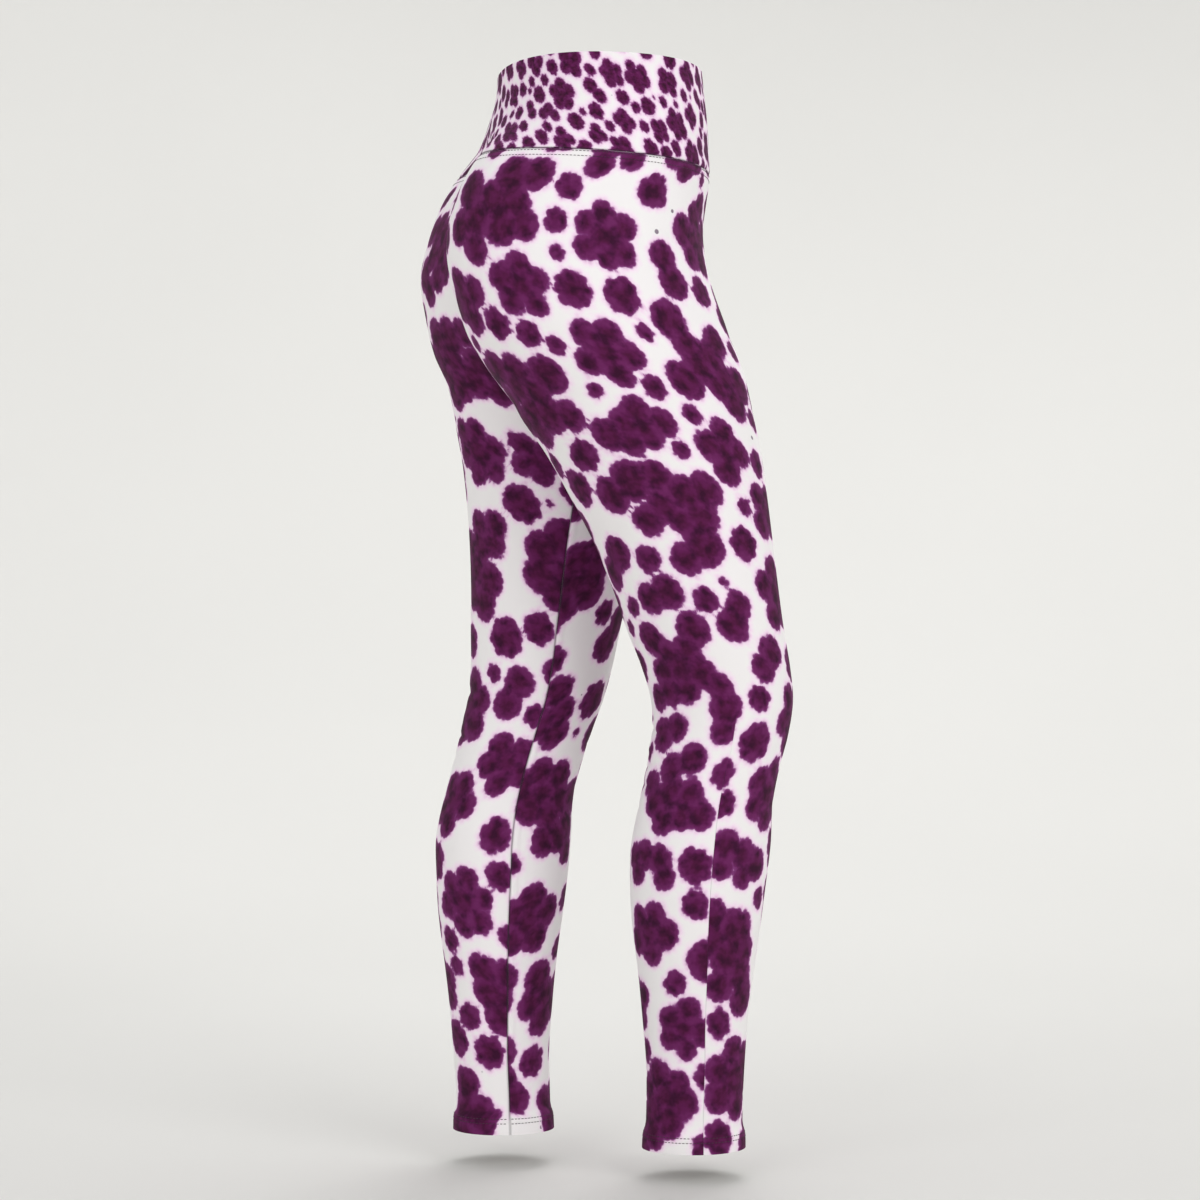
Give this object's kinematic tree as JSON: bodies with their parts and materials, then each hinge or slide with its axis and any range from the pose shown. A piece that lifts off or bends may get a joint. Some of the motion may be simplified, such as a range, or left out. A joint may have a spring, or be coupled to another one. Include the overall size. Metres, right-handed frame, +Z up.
{
  "type": "leggings",
  "caption": "High-waisted full-length stretch leggings with a deep waistband, filled out as worn with no wearer, the right leg a step forward, in a blotted print.",
  "frame": {"origin": "centre of the waistband at half its depth, where the wearer's waist holds the garment up", "axes": "+Z up along the body, -Y towards the front of the garment, +X towards its left leg"},
  "size_m": [0.3442, 0.3059, 0.9418],
  "materials": {
    "leg_jersey": "smooth brushed jersey with a soft sheen, off-white with large dark plum blots",
    "band_jersey": "smooth brushed jersey with a soft sheen, off-white with small dark plum blots",
    "thread": "fine sewing thread"
  },
  "bodies": {
    "root": {"waistband": "band_jersey", "right_leg": "leg_jersey", "left_leg": "leg_jersey"}
  },
  "joints": []
}
